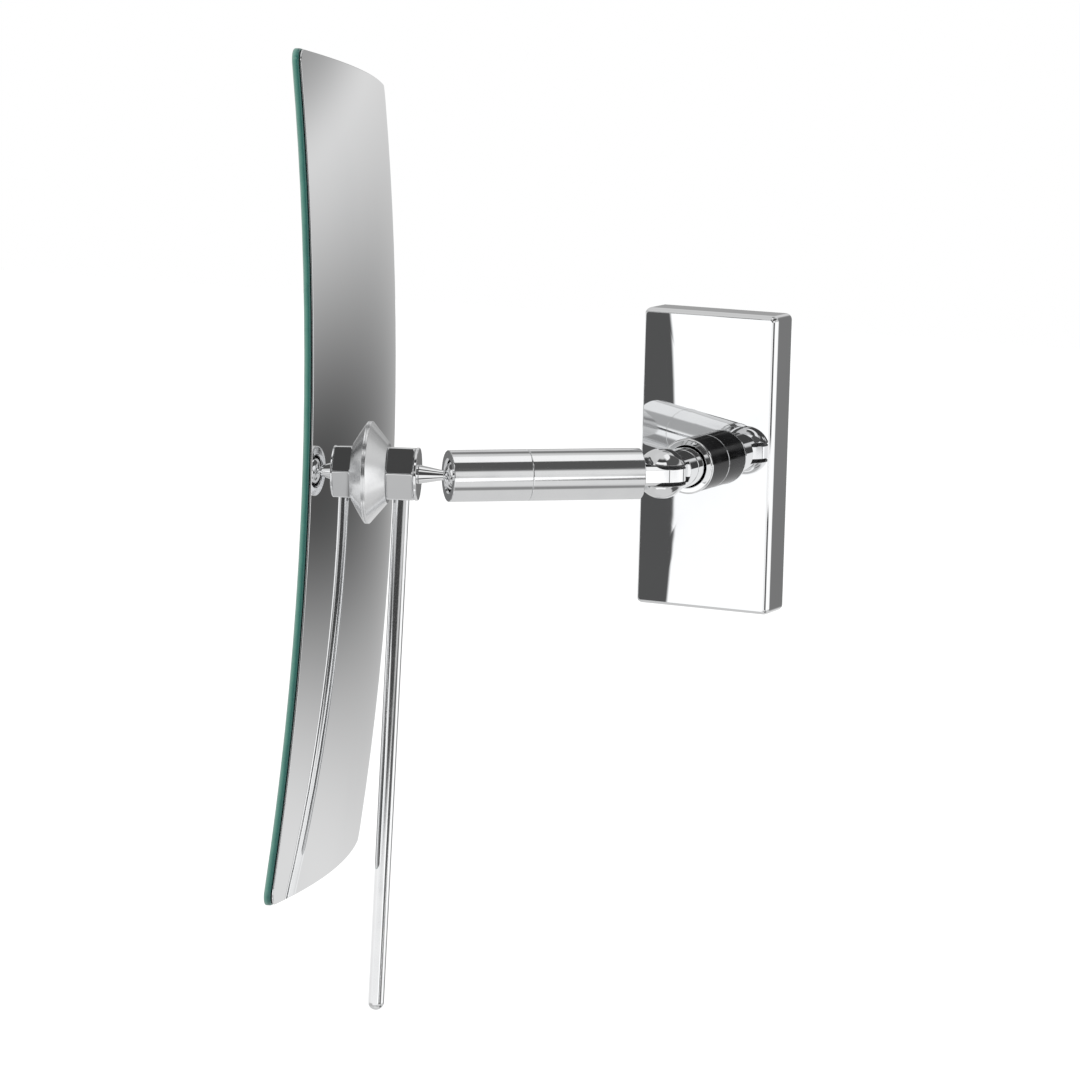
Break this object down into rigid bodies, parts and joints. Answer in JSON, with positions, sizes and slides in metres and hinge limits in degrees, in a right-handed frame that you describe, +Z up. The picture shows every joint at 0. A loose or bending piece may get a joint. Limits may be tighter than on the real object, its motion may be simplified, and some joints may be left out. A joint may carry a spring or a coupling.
{
  "type": "wall-mounted makeup mirror",
  "caption": "Wall-mounted makeup mirror: chrome cover plate, short dark barrel, pivoting tube arm and ball joint carrying a frameless curved rectangular glass with a handle rod.",
  "frame": {"origin": "middle of the cover's back, on the wall plane", "axes": "+Y into the wall, the object stands out towards -Y, +Z up, +X to the right seen from the room"},
  "size_m": [0.1479, 0.2045, 0.298],
  "materials": {
    "polished_chrome": "mirror-polished chrome plate",
    "bright_steel": "bright steel",
    "black_sleeve": "glossy black",
    "slip_plastic": "dark slip plastic",
    "bond": "dark bond layer",
    "mirror": "silvered glass with a polished edge"
  },
  "bodies": {
    "base": {"wall_bracket": "bright_steel", "wall_cover": "polished_chrome", "cover_grub_screw": "bright_steel", "barrel": "black_sleeve", "rim_ring": "polished_chrome", "fixing_screw": "bright_steel", "spring_washer": "bright_steel", "elbow_fork": "polished_chrome", "hinge_pin": "polished_chrome"},
    "arm": {"arm_tongue": "polished_chrome", "friction_washer_upper": "slip_plastic", "friction_washer_lower": "slip_plastic", "rear_tube": "polished_chrome", "coupling_plug": "bright_steel", "front_sleeve": "polished_chrome", "disc_spring": "bright_steel"},
    "seats": {"seat_front": "slip_plastic", "seat_rear": "slip_plastic"},
    "stud": {"ball_stud": "polished_chrome"},
    "head": {"stud_collar": "polished_chrome", "hex_block": "polished_chrome", "hub_cone": "polished_chrome", "plate_stud": "bright_steel", "back_plate": "polished_chrome", "bond_layer": "bond", "mirror_glass": "mirror", "handle_rod": "polished_chrome"}
  },
  "joints": [
    {"name": "elbow_swing", "type": "hinge", "parent": "base", "child": "arm", "pos_m": [0, -0.0465, 0], "axis": [0, 0, 1], "range_deg": [-41.2, 138.8]},
    {"name": "ball_turn", "type": "hinge", "parent": "arm", "child": "seats", "pos_m": [-0.04861, -0.08905, 0], "axis": [-0.7524, -0.6587, 0], "continuous": true},
    {"name": "ball_lean", "type": "hinge", "parent": "seats", "child": "stud", "pos_m": [-0.04861, -0.08905, 0], "axis": [0, 0, 1], "range_deg": [-8.6, 51.4]},
    {"name": "head_spin", "type": "hinge", "parent": "stud", "child": "head", "pos_m": [-0.04861, -0.08905, 0], "axis": [-0.9409, -0.3387, 0], "continuous": true}
  ]
}
